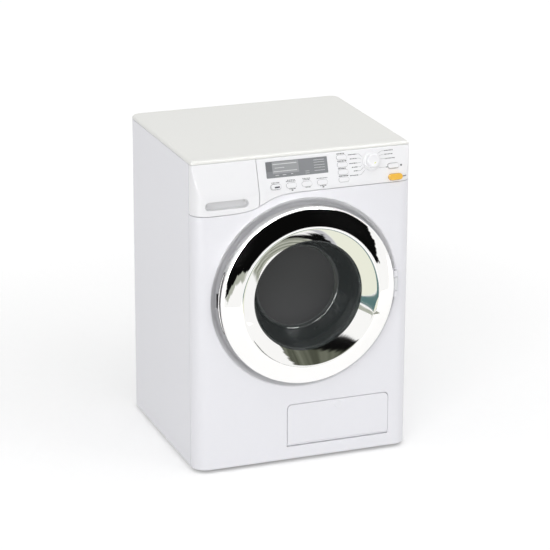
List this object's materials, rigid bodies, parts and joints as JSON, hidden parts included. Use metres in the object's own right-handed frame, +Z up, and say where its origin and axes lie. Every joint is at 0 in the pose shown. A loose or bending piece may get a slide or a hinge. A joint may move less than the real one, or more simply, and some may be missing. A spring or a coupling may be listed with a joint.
{
  "type": "toy washing machine",
  "caption": "Toy front-loading washing machine with a chrome-ringed porthole door, sloping control panel, detergent drawer and a belt-driven drum.",
  "frame": {"origin": "middle of the overall box on the surface the toy stands on", "axes": "+Z up, -Y out of the front door, +X to the right seen from the front"},
  "size_m": [0.185, 0.18, 0.26],
  "materials": {
    "casing_white": "satin bluish white moulding",
    "back_white": "fine matt white moulding",
    "cover_cream": "satin cream white moulding",
    "fascia_white": "satin white moulding",
    "display_grey": "grey display with lighter bars",
    "marker_green": "yellow-green inlay",
    "button_orange": "translucent amber moulding",
    "inner_grey": "grey moulding",
    "board_green": "green board",
    "black_plastic": "black moulding",
    "tray_white": "white moulding",
    "rubber_grey": "grey rubber",
    "rubber_dark": "black rubber",
    "chrome_ring": "vacuum-plated chrome",
    "smoked_clear": "clear smoked moulding",
    "grip_dark": "dark grey moulding",
    "steel_pin": "zinc-plated steel",
    "tub_grey": "light grey moulding",
    "drum_silver": "silver-grey moulding",
    "bronze_bush": "sintered bronze",
    "motor_steel": "plated steel",
    "cell_skin": "plain wrapped cell"
  },
  "bodies": {
    "root": {"cabinet": "casing_white", "front_panel": "casing_white", "back_panel": "back_white", "top_cover": "cover_cream", "feet": "rubber_dark", "control_fascia": "fascia_white", "display_window": "display_grey", "control_board": "board_green", "board_parts": "black_plastic", "dispenser_housing": "inner_grey", "fill_hose": "rubber_grey", "hinge_pin": "steel_pin", "door_seal": "rubber_grey", "tub": "tub_grey", "tub_screws": "steel_pin", "shaft_seal": "rubber_dark", "front_bush": "bronze_bush", "rear_bush": "bronze_bush", "drive_belt": "rubber_dark", "motor": "motor_steel", "motor_bracket": "motor_steel", "bracket_screws": "steel_pin", "drain_hose": "rubber_grey", "drain_outlet": "inner_grey", "battery_box": "inner_grey", "battery_contacts": "steel_pin", "battery_cells": "cell_skin", "battery_cover": "back_white", "battery_screw": "steel_pin", "speaker": "black_plastic", "back_screws": "steel_pin", "front_screws": "steel_pin"},
    "door": {"door_ring": "chrome_ring", "door_back_frame": "back_white", "porthole_bowl": "smoked_clear", "door_grip": "grip_dark", "door_screws": "steel_pin"},
    "dial": {"program_dial": "fascia_white", "dial_marker": "marker_green"},
    "start": {"start_key": "fascia_white"},
    "power": {"power_key": "fascia_white"},
    "opener": {"door_button": "button_orange"},
    "latch": {"release_bar": "inner_grey"},
    "drawer": {"drawer_front": "fascia_white", "drawer_tray": "tray_white"},
    "flap": {"service_flap": "casing_white"},
    "drum": {"drum": "drum_silver", "drum_lifters": "tray_white", "drum_shaft": "steel_pin", "drum_pulley": "inner_grey", "pulley_clip": "steel_pin"},
    "rotor": {"motor_shaft": "steel_pin", "motor_pulley": "tray_white"},
    "plug": {"drain_plug": "rubber_dark"}
  },
  "joints": [
    {"name": "door_hinge", "type": "hinge", "parent": "root", "child": "door", "pos_m": [0.0766, -0.0775, 0.145], "axis": [0, 0, 1], "range_deg": [0, 110]},
    {"name": "dial_turn", "type": "hinge", "parent": "root", "child": "dial", "pos_m": [0.05779, -0.06943, 0.24717], "axis": [0, -0.9455, 0.3256], "continuous": true},
    {"name": "start_press", "type": "slide", "parent": "root", "child": "start", "axis": [0, 0.9455, -0.3256], "range_m": [0, 0.0012], "stiffness_N_per_m": 400, "springref_m": -0.001},
    {"name": "power_press", "type": "slide", "parent": "root", "child": "power", "axis": [0, 0.9455, -0.3256], "range_m": [0, 0.0012], "stiffness_N_per_m": 400, "springref_m": -0.001},
    {"name": "opener_press", "type": "slide", "parent": "root", "child": "opener", "axis": [0, 0.9455, -0.3256], "range_m": [0, 0.003], "stiffness_N_per_m": 300, "springref_m": -0.002},
    {"name": "latch_slide", "type": "slide", "parent": "root", "child": "latch", "axis": [-1, 0, 0], "range_m": [0, 0.003]},
    {"name": "drawer_slide", "type": "slide", "parent": "root", "child": "drawer", "axis": [0, -1, 0], "range_m": [0, 0.044]},
    {"name": "flap_hinge", "type": "hinge", "parent": "root", "child": "flap", "pos_m": [0.03, -0.0728, 0.0168], "axis": [1, 0, 0], "range_deg": [0, 85]},
    {"name": "drum_spin", "type": "hinge", "parent": "root", "child": "drum", "pos_m": [0, 0, 0.145], "axis": [0, 1, 0], "continuous": true},
    {"name": "rotor_spin", "type": "hinge", "parent": "root", "child": "rotor", "pos_m": [0.062, 0.05, 0.083], "axis": [0, 1, 0], "continuous": true},
    {"name": "plug_pull", "type": "slide", "parent": "root", "child": "plug", "axis": [0, 1, 0], "range_m": [0, 0.012]}
  ],
  "couplings": [
    {"joint": "latch_slide", "follows": "opener_press", "ratio": 0.94552},
    {"joint": "rotor_spin", "follows": "drum_spin", "ratio": 7.44}
  ]
}
